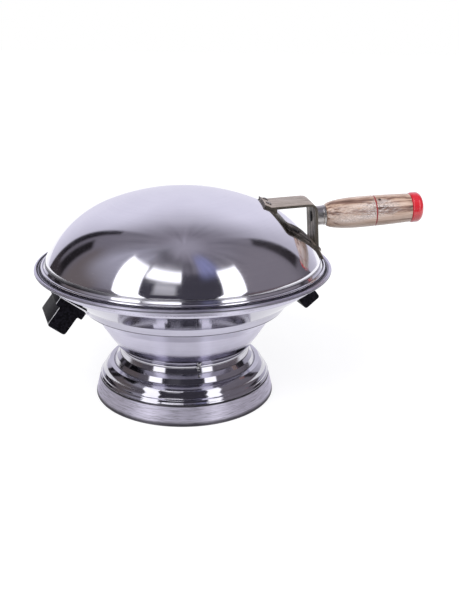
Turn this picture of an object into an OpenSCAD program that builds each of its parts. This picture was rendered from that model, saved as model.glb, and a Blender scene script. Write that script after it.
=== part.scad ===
// Bati oven: a spun bowl on a pedestal, a loose domed lid, a wire rack and a flame plate.
// Millimetres, +Z up. The axis of the oven is Z and the foot stands on z = 0.
// The lid's handle points along +X.

/* [Bowl] */
// Outside diameter of the rolled rim
bowl_d = 300; // [270:1:340]
// Width of the flat rim, from the upright wall to the bead's edge
rim_w = 10.5; // [9:0.1:13]
// How far the flared wall leans in
flare_w = 29; // [25:0.5:33]
// How far the steep band below it leans in
band_w = 5.5; // [3:0.1:8]
// Width of the sloping ledge
shelf_w = 14; // [12:0.1:17]
// How far the tapered lower body leans in
lower_w = 18.5; // [15:0.1:21]
// How far the bowl turns in under its lower body
turn_w = 6.5; // [5:0.1:8]
// Width of the bowl's floor round the flue hole
floor_w = 26; // [22:0.5:29]
// Height of the upright wall under the rim
mouth_h = 9.7; // [7:0.1:14]
// Height of the flared wall
flare_h = 22.5; // [18:0.1:28]
// Height of the steep band below the flared wall
band_h = 8.7; // [6:0.1:12]
// Height of the sloping ledge
shelf_h = 11.1; // [9:0.1:14]
// Height of the tapered lower body
lower_h = 29.6; // [26:0.1:36]
// Height of the turn under the lower body
turn_h = 5.9; // [4.5:0.1:8]
// Thickness of the bowl's sheet
bowl_t = 2; // [1.5:0.1:2.4]
// Diameter of the rolled bead on the rim
bead_d = 3.6; // [3:0.1:5]

/* [Pedestal] */
// Height of the pedestal
pedestal_h = 52; // [46:0.5:62]
// How far the foot stands out from the bowl's bottom
foot_w = 28.5; // [25:0.5:32]
// How far the shoulder's edge stands out from the bowl's bottom
shoulder_w = 23.6; // [21:0.1:26]
// Height of the skirt below the shoulder's edge
skirt_h = 21; // [17:0.5:25]
// How far the upper turned step stands out from the bowl's bottom
upper_step_w = 5.5; // [4.8:0.1:6.5]
// Depth of the upper turned step below the pedestal's top
upper_step_drop = 10.4; // [9.6:0.1:11.5]
// Width of the upper turned step
upper_tread_w = 3.9; // [3:0.1:4.5]
// Fall of the upper turned step
upper_tread_h = 2.5; // [1.5:0.1:3.5]
// How far the lower turned step stands out from the bowl's bottom
lower_step_w = 12; // [11:0.1:14]
// Depth of the lower turned step below the pedestal's top
lower_step_drop = 16.2; // [15:0.1:18]
// Width of the lower turned step
lower_tread_w = 4.5; // [3.5:0.1:5.5]
// Fall of the lower turned step
lower_tread_h = 1; // [0.5:0.1:2]
// Size of the groove at the shoulder's edge
step_w = 1.2; // [0.8:0.1:1.6]
// Thickness of the pedestal's sheet
pedestal_t = 2; // [1.5:0.1:2.6]
// Width of the lip turned in under the foot
lip_w = 10; // [6:0.5:14]
// Height of the ring at the top of the pedestal
ring_h = 2.4; // [1.6:0.1:3.2]
// How far that ring stands out from the bowl's bottom
ring_w = 0.8; // [0.4:0.1:1.4]

/* [Neck welds] */
// Number of weld runs round the neck
weld_count = 3; // [2:1:6]
// Diameter of a weld blob
weld_d = 4.4; // [3:0.1:5]
// Azimuth of the first weld run
weld_az = -82; // [-180:1:180]

/* [Lid] */
// How far the lid's edge stays inside the bowl's rim
lid_margin = 6.5; // [5:0.5:8]
// How far the lid's rolled edge stands out from the dome
lid_flange = 2.5; // [2:0.1:3]
// Height of the dome's top above the rim
lid_h = 76; // [68:0.5:84]
// Height of the short upright foot of the dome
dome_foot_h = 3.2; // [2.8:0.1:4]
// Radius of the dome's crown, as a share of the dome's diameter
crown_share = 0.7716; // [0.7:0.0001:0.84]
// Radius of the dome's shoulder, as a share of the dome's diameter
knuckle_share = 0.4039; // [0.37:0.0001:0.44]
// Thickness of the lid's sheet
lid_t = 1.8; // [1.2:0.1:2.4]
// Diameter of the lid's rolled edge
lid_bead_d = 2.8; // [2.4:0.1:3.6]

/* [Lid bracket] */
// Width of the strap
strap_w = 44; // [36:0.5:50]
// Thickness of the strap
strap_t = 2.5; // [1.8:0.1:3.2]
// Depth of the strap's bend below the dome's top
strap_drop = 14; // [12:0.5:16]
// Inner end of the upper foot, as a share of the dome's radius
upper_foot_share = 0.56; // [0.55:0.005:0.58]
// Length of the upper foot along X
upper_foot_l = 12; // [11:0.5:14]
// Height of the lower foot's end above the rim
lower_foot_rise = 6; // [4.5:0.1:8]
// Height of the lower foot
lower_foot_h = 15; // [13:0.5:20]
// Size of the bend between the legs
bend_l = 6; // [4:0.5:9]
// Spacing of the rivets across the strap
rivet_gap_y = 20; // [14:0.5:26]
// Diameter of a rivet's shank
rivet_d = 3.6; // [3:0.1:4.4]
// Diameter of a rivet's head
rivet_head_d = 6.4; // [6:0.1:7]
// Height of a rivet's head
rivet_head_h = 1.5; // [1.2:0.1:2]

/* [Lid handle] */
// How far the upright leg stays inside the dome's foot, at the handle
leg_inset = 9.5; // [8:0.5:11]
// Depth of the handle's axis below the strap's bend
handle_drop = 16; // [14:0.5:19]
// Upward tilt of the handle
handle_tilt = 4.2; // [2:0.1:6]
// Diameter of the ferrule
ferrule_d = 20.4; // [19.6:0.1:22]
// Length of the ferrule
ferrule_l = 12; // [10:0.5:16]
// Wall of the ferrule
ferrule_t = 1.4; // [1:0.1:1.8]
// Length of the wooden grip between ferrule and cap
grip_l = 88; // [76:0.5:100]
// Largest diameter of the grip
grip_d = 31.7; // [28:0.1:34]
// Diameter of the grip at the cap
grip_end_d = 29; // [28:0.1:31]
// Place of the largest diameter, as a share of the grip's length
grip_belly = 0.4; // [0.3:0.01:0.5]
// How far the end cap stands out from the grip
cap_lip = 1.1; // [0.8:0.1:2]
// Length of the end cap
cap_l = 12.5; // [12:0.5:18]
// Depth of the cap's socket
cap_socket_l = 7; // [5:0.5:8]
// Wall of the cap's socket
cap_wall = 3.2; // [2.4:0.1:4]
// Diameter of the tang
tang_d = 7; // [6:0.1:8]
// Diameter of the tang's riveted head on the strap
tang_head_d = 11; // [9:0.1:13]
// Height of the tang's riveted head
tang_head_h = 1.2; // [0.8:0.1:2]
// Width of the tang's nut across its flats
tang_nut_w = 11; // [10:0.1:12]
// Height of the tang's nut
tang_nut_h = 5; // [4:0.1:6]
// Diameter of the tang's washer
tang_washer_d = 15; // [14:0.1:17]
// Thickness of every washer
washer_t = 1.2; // [1:0.1:1.8]

/* [Side handles] */
// Azimuth of the side handles from the lid's handle
side_az = 12.5; // [-90:0.5:90]
// Length of a side handle round the bowl
side_l = 50; // [42:0.5:60]
// Width of a side handle's foot
side_foot_w = 30; // [26:0.5:32]
// Thickness of a side handle's foot
side_foot_h = 8.5; // [6:0.5:11]
// Thickness of a side handle's grip
side_grip_w = 20; // [17:0.2:22]
// Reach of a side handle from the wall
side_reach = 30; // [25:0.5:36]
// Distance of a side handle's middle above the foot of the flared wall
side_up = 9; // [8:0.5:13]
// Size of the rounded corners of a side handle
side_round = 3; // [2:0.1:4]
// Thickness of the plate behind a side handle
plate_t = 1.2; // [0.8:0.1:1.6]
// How far that plate shows past the handle's foot
plate_margin = 2; // [1:0.1:3]
// Spacing of a side handle's two bolts
bolt_gap = 26; // [20:0.5:30]
// Diameter of a bolt
bolt_d = 5; // [4:0.1:6]
// Diameter of a bolt's head
bolt_head_d = 9; // [8:0.1:10]
// Height of a bolt's head
bolt_head_h = 3; // [2:0.1:4]
// Diameter of a bolt's washer
bolt_washer_d = 11; // [10:0.5:13]
// Diameter of a moulded-in insert
insert_d = 9; // [8:0.1:10]
// Length of a moulded-in insert
insert_l = 12; // [10:0.5:15]

/* [Rack] */
// Place of the rack's ring on the ledge, as a share of the ledge's width
rack_share = 0.5; // [0.4:0.01:0.6]
// Diameter of the ring's wire
rack_wire_d = 5; // [4:0.1:5.4]
// Diameter of the bars
bar_d = 3.4; // [3:0.1:4]
// Spacing of the bars
bar_pitch = 20; // [16:0.5:24]
// Diameter of the two bearers
bearer_d = 4; // [3:0.1:4.6]
// Distance of each bearer from the middle
bearer_y = 36; // [28:0.5:50]

/* [Flame plate] */
// How far the flame plate stays inside the bowl's bottom
flame_margin = 11; // [8:0.5:14]
// Thickness of the flame plate
flame_t = 3; // [2:0.1:4]
// Height of its legs
leg_h = 15; // [13:0.5:17]
// Width of a leg
leg_w = 14; // [12:0.5:18]
// Thickness of a leg
leg_t = 2; // [1.5:0.1:2.4]
// Length of a leg's foot and of its tab
leg_l = 11; // [10:0.5:13]
// How far the legs stay inside the plate's edge
leg_in = 2; // [1:0.5:4]
// Number of legs
leg_count = 3; // [3:1:5]

/* [Fits] */
// Gap between pieces that rest on each other and lift apart
seat_gap = 0.3; // [0.2:0.05:0.4]
// Gap between fixed pieces that lie on each other
fixed_gap = 0.1; // [0.05:0.01:0.2]
// Radial gap of a rivet, bolt or tang in its hole
hole_gap = 0.15; // [0.1:0.01:0.3]

/* [Hidden] */
$fn = 96;
// Points on the arcs of a profile
arc_steps = 16;
ease_steps = 4;
// Overshoot of a cut past the face that it opens
cut = 1;

// Diameters of the bowl's creases, from the rim down
mouth_d = bowl_d - 2 * rim_w;
flare_d = mouth_d - 2 * flare_w;
shelf_d = flare_d - 2 * band_w;
waist_d = shelf_d - 2 * shelf_w;
turn_d = waist_d - 2 * lower_w;
neck_d = turn_d - 2 * turn_w;
flue_d = neck_d - 2 * floor_w;

// Heights of those creases, from the foot up
turn_z = pedestal_h + turn_h;
waist_z = turn_z + lower_h;
shelf_z = waist_z + shelf_h;
flare_z = shelf_z + band_h;
mouth_z = flare_z + flare_h;
rim_z = mouth_z + mouth_h;

// The pedestal's edges
upper_step = [neck_d / 2 + upper_step_w, pedestal_h - upper_step_drop];
lower_step = [neck_d / 2 + lower_step_w, pedestal_h - lower_step_drop];
shoulder_edge = [neck_d / 2 + shoulder_w, skirt_h];
foot_r = neck_d / 2 + foot_w;
upper_riser = upper_step + [-upper_tread_w, upper_tread_h];
lower_riser = lower_step + [-lower_tread_w, lower_tread_h];
shoulder_pull = shoulder_edge + [-step_w / 3, 5 / 3 * step_w];
shoulder_mid = (lower_step + 2 * shoulder_pull + shoulder_edge) / 4;

// The flared wall that carries the side handles
flare_slope = atan2(flare_h, flare_w);
side_r = flare_d / 2 + side_up * cos(flare_slope);
side_z = flare_z + side_up * sin(flare_slope);

// A bolt's washer and insert, measured square from that wall
bolt_washer_z = -bowl_t - 2 * fixed_gap - washer_t;
insert_z0 = plate_t + 3 * fixed_gap + 1;
insert_top = insert_z0 + insert_l;

// The dome: a crown arc that runs into a shoulder arc, which ends on the dome's foot
lid_d = bowl_d - 2 * lid_margin;
dome_d = lid_d - 2 * lid_flange;
crown_r = crown_share * dome_d;
knuckle_r = knuckle_share * dome_d;
seat_z = rim_z + seat_gap;
dome_top_z = rim_z + lid_h;
crown_z = dome_top_z - crown_r;
dome_foot = [dome_d / 2, seat_z + dome_foot_h];
crown_mid = [0, crown_z];
mid_gap = crown_r - knuckle_r;
foot_dir = (dome_foot - crown_mid) / norm(dome_foot - crown_mid);
foot_dist = norm(dome_foot - crown_mid);
along = (mid_gap^2 - knuckle_r^2 + foot_dist^2) / (2 * foot_dist);
aside = sqrt(mid_gap^2 - along^2);
knuckle_mid = crown_mid + along * foot_dir + aside * [-foot_dir[1], foot_dir[0]];
blend_a = atan2(knuckle_mid[1] - crown_z, knuckle_mid[0]);
foot_a = atan2(dome_foot[1] - knuckle_mid[1], dome_foot[0] - knuckle_mid[0]);

// The strap's bend, which is square, and the handle's axis
strap_z = dome_top_z - strap_drop;
handle_z = strap_z - handle_drop;
handle_x = dome_d / 2 - leg_inset;
upper_foot_x = upper_foot_share * dome_d / 2;
corner_x = handle_x - (strap_z - handle_z) * tan(handle_tilt);
leg_end_x = handle_x + (handle_z - dome_foot[1]) * tan(handle_tilt);
leg_start_x = upper_foot_x + upper_foot_l / 2;
leg_start_z = strap_z - (corner_x - leg_start_x) * tan(handle_tilt);
upper_rivet_x = upper_foot_x + 0.62 * rivet_head_d;
lower_rivet_z = rim_z + lower_foot_rise + rivet_head_d;

// Places along the lid handle's axis, from the middle of the strap's leg
ferrule_z0 = strap_t / 2 + fixed_gap;
ferrule_z1 = ferrule_z0 + ferrule_l;
grip_z1 = ferrule_z1 + grip_l;
spigot_d = ferrule_d - 2 * ferrule_t - 2 * hole_gap;
cap_d = grip_end_d + 2 * cap_lip;
end_spigot_d = cap_d - 2 * cap_wall - 2 * hole_gap;
grip_end_z = grip_z1 + cap_socket_l - fixed_gap;
pocket_z = grip_end_z - washer_t - tang_nut_h - 4 * fixed_gap;
nut_z = pocket_z + washer_t + 2 * fixed_gap;

// The rack lies on the sloping ledge
shelf_slope = atan2(shelf_h, shelf_w);
rack_d = waist_d + 2 * rack_share * shelf_w;
rack_lift_off = (bowl_t + seat_gap + rack_wire_d / 2) / cos(shelf_slope);
rack_z = waist_z + (rack_d - waist_d) / 2 * tan(shelf_slope) + rack_lift_off;
bar_z = rack_z + rack_wire_d / 2 + bar_d / 2 + fixed_gap;
bearer_z = bar_z - bar_d / 2 - bearer_d / 2 - fixed_gap;
bars_each_side = floor((rack_d / 2 - rack_wire_d) / bar_pitch);

// The flame plate stands on the bowl's floor
flame_d = neck_d - 2 * flame_margin;
leg_r = flame_d / 2 - leg_in;
floor_z = pedestal_h + bowl_t;
leg_z = floor_z + seat_gap;
flame_z = leg_z + leg_h + fixed_gap;
tab_rivet_r = leg_r - leg_l / 2 - leg_t / 2;

// Points on an arc about c, from angle a0 to angle a1
function arc(c, r, a0, a1, n = arc_steps) =
    [for (i = [0:n]) let(a = a0 + (a1 - a0) * i / n) c + r * [cos(a), sin(a)]];
function reversed(p) = [for (i = [len(p) - 1:-1:0]) p[i]];
function unit(v) = v / norm(v);
function left_of(a, b) = let(u = unit(b - a)) [-u[1], u[0]];

// A corner at b, eased over a length l on both sides
function eased(a, b, c, l, n = ease_steps) =
    let(u = unit(a - b), v = unit(c - b))
    [for (i = [0:n]) let(s = i / n) b + l * ((1 - s)^2 * u + s^2 * v)];

// A path through the points p, whose inner corners are eased over the lengths l
function smooth(p, l) = concat(
    [p[0]],
    [for (i = [1:len(p) - 2]) each eased(p[i - 1], p[i], p[i + 1], l[i - 1])],
    [p[len(p) - 1]]);

// The path p moved to its left by d, with mitred corners
function shifted(p, d) = [for (i = [0:len(p) - 1])
    let(
        before = i == 0 ? left_of(p[0], p[1]) : left_of(p[i - 1], p[i]),
        after = i == len(p) - 1 ? before : left_of(p[i], p[i + 1]),
        both = before + after)
    p[i] + 2 * d * both / (both * both)];

// The outline of a sheet of thickness t on the left of the path p
function sheet(p, t) = concat(p, reversed(shifted(p, t)));

// The outside of the bowl, from the flue hole out and up to the rim
bowl_path = smooth(
    [
        [flue_d / 2, pedestal_h],
        [neck_d / 2, pedestal_h],
        [turn_d / 2, turn_z],
        [waist_d / 2, waist_z],
        [shelf_d / 2, shelf_z],
        [flare_d / 2, flare_z],
        [mouth_d / 2, mouth_z],
        [mouth_d / 2, rim_z - bowl_t],
        [(bowl_d - bead_d) / 2, rim_z - bowl_t],
    ],
    [3, 3, 3, 2.4, 2.4, 2.4, 1.2]);

// The outside of the pedestal, from the flue hole out and down to the foot
pedestal_path = let(
    ring_r = neck_d / 2 + ring_w,
    ring_z = pedestal_h - ring_h)
    concat(
        [
            [flue_d / 2, pedestal_h],
            [ring_r, pedestal_h],
            [ring_r, ring_z],
            [neck_d / 2 - ring_w / 2, ring_z],
            upper_riser,
            upper_step,
            lower_riser,
        ],
        [for (i = [0:arc_steps]) let(s = i / arc_steps)
            (1 - s)^2 * lower_step + 2 * s * (1 - s) * shoulder_pull + s^2 * shoulder_edge],
        [
            shoulder_edge - [step_w / 2, step_w / 2],
            shoulder_edge - [0, step_w],
            [foot_r, 0],
        ]);

// The inside of the pedestal, from the foot up to the flue hole
pedestal_inside = [
    [foot_r - lip_w, 0],
    [foot_r - lip_w, pedestal_t],
    [foot_r - 1.4 * pedestal_t, pedestal_t],
    shoulder_edge - [step_w + pedestal_t, step_w],
    shoulder_mid - 0.8 * [pedestal_t, pedestal_t],
    lower_step - [pedestal_t, pedestal_t],
    lower_riser - [pedestal_t, pedestal_t],
    upper_step - [pedestal_t, pedestal_t],
    upper_riser - [pedestal_t, pedestal_t],
    [neck_d / 2 - ring_w / 2 - pedestal_t, pedestal_h - pedestal_t],
    [flue_d / 2, pedestal_h - pedestal_t],
];

// The dome's outside, moved out by d, from its top to its foot
function dome_arc(d) = concat(
    arc(crown_mid, crown_r + d, 90, blend_a),
    arc(knuckle_mid, knuckle_r + d, blend_a, foot_a));

module lathe(points) {
    rotate_extrude() polygon(points);
}

module bead(r, z, d) {
    rotate_extrude() translate([r, z]) circle(d = d);
}

// The solid inside the bowl's outside, grown by d
module bowl_block(d) {
    p = shifted(bowl_path, -d);
    lathe(concat([[0, p[0][1]]], p, [[0, p[len(p) - 1][1]]]));
}

// The solid under the dome's outside, grown by d
module dome_block(d) {
    p = dome_arc(d);
    lathe(concat([[0, seat_z]], p, [[p[len(p) - 1][0], seat_z]]));
}

// A frame that stands square on the dome's shoulder: z = 0 is the dome's outside
module on_knuckle(az, tilt) {
    rotate([0, 0, az]) translate([knuckle_mid[0], 0, knuckle_mid[1]]) rotate([0, tilt, 0])
        translate([0, 0, knuckle_r]) children();
}

// The places of the bracket's rivets, one on each side of the strap's middle
module at_upper_rivets() {
    rivet_r = norm([upper_rivet_x, rivet_gap_y / 2]);
    for (side = [-1, 1])
        on_knuckle(side * asin(rivet_gap_y / 2 / rivet_r), asin((rivet_r - knuckle_mid[0]) / knuckle_r))
            children();
}

module at_lower_rivets() {
    tilt = acos((lower_rivet_z - knuckle_mid[1]) / knuckle_r);
    rivet_r = knuckle_mid[0] + knuckle_r * sin(tilt);
    for (side = [-1, 1]) on_knuckle(side * asin(rivet_gap_y / 2 / rivet_r), tilt) children();
}

// A round-headed rivet: z = 0 is under its head, and its tail closes on a stack of height grip
module rivet(grip) {
    lathe(concat(
        [[0, -grip - rivet_head_h / 2], [rivet_head_d / 2, -grip - rivet_head_h / 2]],
        [[rivet_head_d / 2, -grip], [rivet_d / 2, -grip], [rivet_d / 2, 0], [rivet_head_d / 2, 0]],
        [for (i = [0:ease_steps]) let(a = 15 + 75 * i / ease_steps)
            [rivet_head_d / 2 * cos(a), rivet_head_h * sin(a)]]));
}

module bracket_rivet() {
    translate([0, 0, strap_t + 2 * fixed_gap]) rivet(strap_t + lid_t + 4 * fixed_gap);
}

module rivet_hole(reach) {
    cylinder(d = rivet_d + 2 * hole_gap, h = 2 * reach, center = true);
}

// The frame of a side handle: z = 0 is the bowl's flared wall, +Z leaves it square
module on_flare(az) {
    rotate([0, 0, az]) translate([side_r, 0, side_z]) rotate([0, 180 - flare_slope, 0]) children();
}

// Each bolt stands square on the wall
module at_handle_bolts(az) {
    turn = asin(bolt_gap / 2 / side_r);
    for (side = [-1, 1]) on_flare(az + side * turn) children();
}

// The frame of the lid's handle: z = 0 is the middle of the strap's leg
module on_handle() {
    translate([handle_x, 0, handle_z]) rotate([0, 90 - handle_tilt, 0]) children();
}

module bowl() {
    color("silver") difference() {
        union() {
            lathe(sheet(bowl_path, bowl_t));
            bead((bowl_d - bead_d) / 2, rim_z - bowl_t / 2, bead_d);
        }
        for (az = [side_az, side_az + 180])
            at_handle_bolts(az) cylinder(d = bolt_d + 2 * hole_gap, h = 8 * bowl_t, center = true);
    }
}

module pedestal() {
    color("gainsboro") lathe(concat(pedestal_path, pedestal_inside));
}

// A half-round blob of weld at height z, on a face of radius r there that leans out by lean
module weld_blob(r, z, lean, d) {
    translate([r, 0, z]) rotate([0, lean, 0]) translate([fixed_gap, 0, 0]) difference() {
        sphere(d = d, $fn = 32);
        translate([-d, -d, -d]) cube([d, 2 * d, 2 * d]);
    }
}

// Runs of weld from the bowl's lower wall over the pedestal's ring and down its neck
module neck_welds() {
    ring_z = pedestal_h - ring_h;
    neck = [neck_d / 2 - ring_w / 2, ring_z];
    turn_lean = atan2(turn_w, turn_h);
    neck_lean = -atan2(upper_riser[0] - neck[0], neck[1] - upper_riser[1]);
    tread_lean = -atan2(upper_tread_w, upper_tread_h);
    color("darkgray") for (i = [0:weld_count - 1]) rotate([0, 0, weld_az + i * 360 / weld_count]) {
        for (share = [0.5, 0.8])
            weld_blob(neck_d / 2 + share * turn_w, pedestal_h + share * turn_h, turn_lean, weld_d);
        weld_blob(neck_d / 2 + ring_w, pedestal_h - ring_h / 2, 0, weld_d);
        weld_blob(0.58 * neck[0] + 0.42 * upper_riser[0],
            0.58 * neck[1] + 0.42 * upper_riser[1], neck_lean, 0.62 * weld_d);
        weld_blob(0.35 * upper_riser[0] + 0.65 * upper_step[0],
            0.35 * upper_riser[1] + 0.65 * upper_step[1], tread_lean, 0.6 * weld_d);
    }
}

// Outline of a side handle, across the wall's slope (x) and away from the wall (y)
side_outline = smooth(
    [
        [0, -side_foot_h],
        [side_foot_w / 2, -side_foot_h],
        [side_foot_w / 2, side_foot_h],
        [side_grip_w / 2, side_foot_h],
        [side_grip_w / 2, side_reach],
        [-side_grip_w / 2, side_reach],
        [-side_grip_w / 2, side_foot_h],
        [-side_foot_w / 2, side_foot_h],
        [-side_foot_w / 2, -side_foot_h],
    ],
    [1, side_round / 2, side_round / 2, side_round, side_round, side_round / 2, side_round / 2]);

module side_handle(az) {
    difference() {
        on_flare(az) rotate([90, 0, 0]) linear_extrude(side_l, center = true) polygon(side_outline);
        bowl_block(plate_t + 2 * fixed_gap);
        at_handle_bolts(az) translate([0, 0, -side_foot_h])
            cylinder(d = insert_d + 2 * hole_gap, h = side_foot_h + insert_top + fixed_gap);
    }
}

module right_handle() {
    color("black") side_handle(side_az);
}

module left_handle() {
    color("black") side_handle(side_az + 180);
}

module handle_plates() {
    color("lightgray") for (az = [side_az, side_az + 180]) difference() {
        intersection() {
            bowl_block(plate_t + fixed_gap);
            on_flare(az) cube(
                [side_foot_w + 2 * plate_margin, side_l + 2 * plate_margin, 2 * side_foot_h],
                center = true);
        }
        bowl_block(fixed_gap);
        at_handle_bolts(az) cylinder(d = bolt_d + 2 * hole_gap, h = 8 * plate_t, center = true);
    }
}

module handle_bolts() {
    head_z = bolt_washer_z - fixed_gap - bolt_head_h;
    color("gray") for (az = [side_az, side_az + 180]) at_handle_bolts(az) {
        translate([0, 0, head_z]) cylinder(d = bolt_head_d, h = bolt_head_h);
        translate([0, 0, head_z]) cylinder(d = bolt_d, h = insert_top - cut - head_z);
    }
}

module handle_washers() {
    color("silver") for (az = [side_az, side_az + 180]) at_handle_bolts(az)
        translate([0, 0, bolt_washer_z]) difference() {
            cylinder(d = bolt_washer_d, h = washer_t);
            translate([0, 0, -cut]) cylinder(d = bolt_d + 2 * hole_gap, h = washer_t + 2 * cut);
        }
}

module handle_inserts() {
    color("goldenrod") for (az = [side_az, side_az + 180]) at_handle_bolts(az)
        translate([0, 0, insert_z0]) difference() {
            cylinder(d = insert_d, h = insert_l);
            translate([0, 0, -cut]) cylinder(d = bolt_d + 2 * hole_gap, h = insert_l + 2 * cut);
        }
}

module at_legs() {
    for (i = [0:leg_count - 1]) rotate([0, 0, (i + 0.5) * 360 / leg_count]) children();
}

module flame_plate() {
    color("dimgray") difference() {
        translate([0, 0, flame_z]) cylinder(d = flame_d, h = flame_t);
        at_legs() translate([tab_rivet_r, 0, flame_z]) rivet_hole(2 * flame_t);
    }
}

// Bent strips, each with a foot on the floor and a tab under the plate
module flame_plate_legs() {
    strip = smooth(
        [
            [leg_r - leg_l, leg_z],
            [leg_r, leg_z],
            [leg_r, leg_z + leg_h],
            [leg_r - leg_l, leg_z + leg_h],
        ],
        [2 * leg_t, 2 * leg_t]);
    color("gray") at_legs() difference() {
        rotate([90, 0, 0]) linear_extrude(leg_w, center = true) polygon(sheet(strip, leg_t));
        translate([tab_rivet_r, 0, leg_z + leg_h]) rivet_hole(2 * leg_t);
    }
}

module flame_plate_rivets() {
    color("silver") at_legs() translate([tab_rivet_r, 0, flame_z + flame_t + fixed_gap])
        rivet(flame_t + leg_t + 3 * fixed_gap);
}

module rack_ring() {
    color("silver") bead(rack_d / 2, rack_z, rack_wire_d);
}

module rack_bars() {
    color("silver") for (i = [-bars_each_side:bars_each_side]) {
        x = i * bar_pitch;
        translate([x, 0, bar_z]) rotate([90, 0, 0])
            cylinder(d = bar_d, h = 2 * sqrt((rack_d / 2)^2 - x^2), center = true);
    }
}

module rack_bearers() {
    inner_r = (rack_d - rack_wire_d) / 2 - fixed_gap;
    half = sqrt(inner_r^2 - (bearer_y + bearer_d / 2)^2);
    color("silver") for (side = [-1, 1]) translate([0, side * bearer_y, bearer_z]) rotate([0, 90, 0])
        cylinder(d = bearer_d, h = 2 * half, center = true);
}

module lid_dome() {
    edge_r = dome_d / 2;
    color("whitesmoke") difference() {
        union() {
            lathe(concat(
                dome_arc(0),
                [[edge_r, seat_z], [edge_r - lid_t, seat_z]],
                reversed(dome_arc(-lid_t))));
            bead((lid_d - lid_bead_d) / 2, seat_z + lid_bead_d / 2, lid_bead_d);
        }
        at_upper_rivets() rivet_hole(4 * lid_t);
        at_lower_rivets() rivet_hole(4 * lid_t);
    }
}

// A patch of strap that follows the dome, within a box from low to high
module strap_foot(low, high) {
    intersection() {
        dome_block(strap_t + fixed_gap);
        translate(low) cube(high - low);
    }
}

module lid_bracket() {
    half_w = strap_w / 2;
    legs = smooth(
        [
            [leg_start_x, leg_start_z - strap_t / 2],
            [corner_x - strap_t / 2, strap_z - strap_t / 2],
            [leg_end_x - strap_t / 2, dome_foot[1] + strap_t],
        ],
        [bend_l]);
    foot_z = rim_z + lower_foot_rise;
    color("rosybrown") difference() {
        union() {
            rotate([90, 0, 0]) linear_extrude(strap_w, center = true) polygon(sheet(legs, strap_t));
            strap_foot(
                [upper_foot_x, -half_w, handle_z],
                [upper_foot_x + upper_foot_l, half_w, dome_top_z]);
            strap_foot([corner_x / 2, -half_w, foot_z], [dome_d, half_w, foot_z + lower_foot_h]);
        }
        dome_block(fixed_gap);
        at_upper_rivets() rivet_hole(4 * strap_t);
        at_upper_rivets() translate([0, 0, strap_t + 1.5 * fixed_gap])
            cylinder(d = rivet_head_d + 2 * seat_gap, h = 4 * strap_t);
        at_lower_rivets() rivet_hole(4 * strap_t);
        on_handle() cylinder(d = tang_d + 2 * hole_gap, h = 4 * strap_t, center = true);
    }
}

module bracket_rivets_upper() {
    color("gray") at_upper_rivets() bracket_rivet();
}

module bracket_rivets_lower() {
    color("gray") at_lower_rivets() bracket_rivet();
}

module handle_ferrule() {
    color("gray") on_handle() translate([0, 0, ferrule_z0]) difference() {
        cylinder(d = ferrule_d, h = ferrule_l);
        translate([0, 0, -cut]) cylinder(d = tang_d + 2 * hole_gap, h = ferrule_l);
        translate([0, 0, ferrule_t]) cylinder(d = ferrule_d - 2 * ferrule_t, h = ferrule_l);
    }
}

// A rod riveted over on the strap's inner face, which runs through the grip to its nut
module handle_tang() {
    seat = -strap_t / 2 - fixed_gap;
    color("gray") on_handle() lathe([
        [0, seat - tang_head_h],
        [0.3 * tang_head_d, seat - tang_head_h],
        [tang_head_d / 2, seat - tang_head_h / 3],
        [tang_head_d / 2, seat],
        [tang_d / 2, seat],
        [tang_d / 2, grip_end_z],
        [0, grip_end_z],
    ]);
}

module tang_washer() {
    color("silver") on_handle() translate([0, 0, pocket_z + fixed_gap]) difference() {
        cylinder(d = tang_washer_d, h = washer_t);
        translate([0, 0, -cut]) cylinder(d = tang_d + 2 * hole_gap, h = washer_t + 2 * cut);
    }
}

module tang_nut() {
    color("gray") on_handle() translate([0, 0, nut_z]) difference() {
        cylinder(d = tang_nut_w / cos(30), h = tang_nut_h, $fn = 6);
        translate([0, 0, -cut]) cylinder(d = tang_d + 2 * hole_gap, h = tang_nut_h + 2 * cut);
    }
}

// Radius of the wooden grip at a share s of its length
function grip_r(s) = s < grip_belly
    ? ferrule_d / 2 + (grip_d - ferrule_d) / 2 * sqrt(1 - (1 - s / grip_belly)^2)
    : grip_d / 2 - (grip_d - grip_end_d) / 2 * ((s - grip_belly) / (1 - grip_belly))^2;

// A turned grip with a spigot in the ferrule, another in the cap and a pocket for the tang's nut
module handle_grip() {
    steps = 2 * arc_steps;
    spigot_z0 = ferrule_z0 + ferrule_t + fixed_gap;
    color("tan") on_handle() difference() {
        lathe(concat(
            [[0, spigot_z0], [spigot_d / 2, spigot_z0], [spigot_d / 2, ferrule_z1 + fixed_gap]],
            [for (i = [0:steps]) let(s = (i / steps)^1.5) [grip_r(s), ferrule_z1 + fixed_gap + s * grip_l]],
            [[end_spigot_d / 2, grip_z1 + fixed_gap], [end_spigot_d / 2, grip_end_z], [0, grip_end_z]]));
        cylinder(d = tang_d + 2 * hole_gap, h = grip_end_z);
        translate([0, 0, pocket_z]) cylinder(d = tang_washer_d + 2 * seat_gap, h = cap_l);
    }
}

// A moulded cap with a socket for the grip's end and a rounded outer end
module handle_end_cap() {
    z0 = grip_z1 + 2 * fixed_gap;
    z1 = z0 + cap_l;
    socket_r = cap_d / 2 - cap_wall;
    round_r = cap_l / 2;
    rim_round = cap_wall - 0.4;
    color("red") on_handle() lathe(concat(
        [[0, z0 + cap_socket_l], [socket_r, z0 + cap_socket_l], [socket_r, z0]],
        arc([cap_d / 2 - rim_round, z0 + rim_round], rim_round, -90, 0, ease_steps),
        arc([cap_d / 2 - round_r, z1 - round_r], round_r, 0, 90, arc_steps),
        [[0, z1]]));
}

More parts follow.
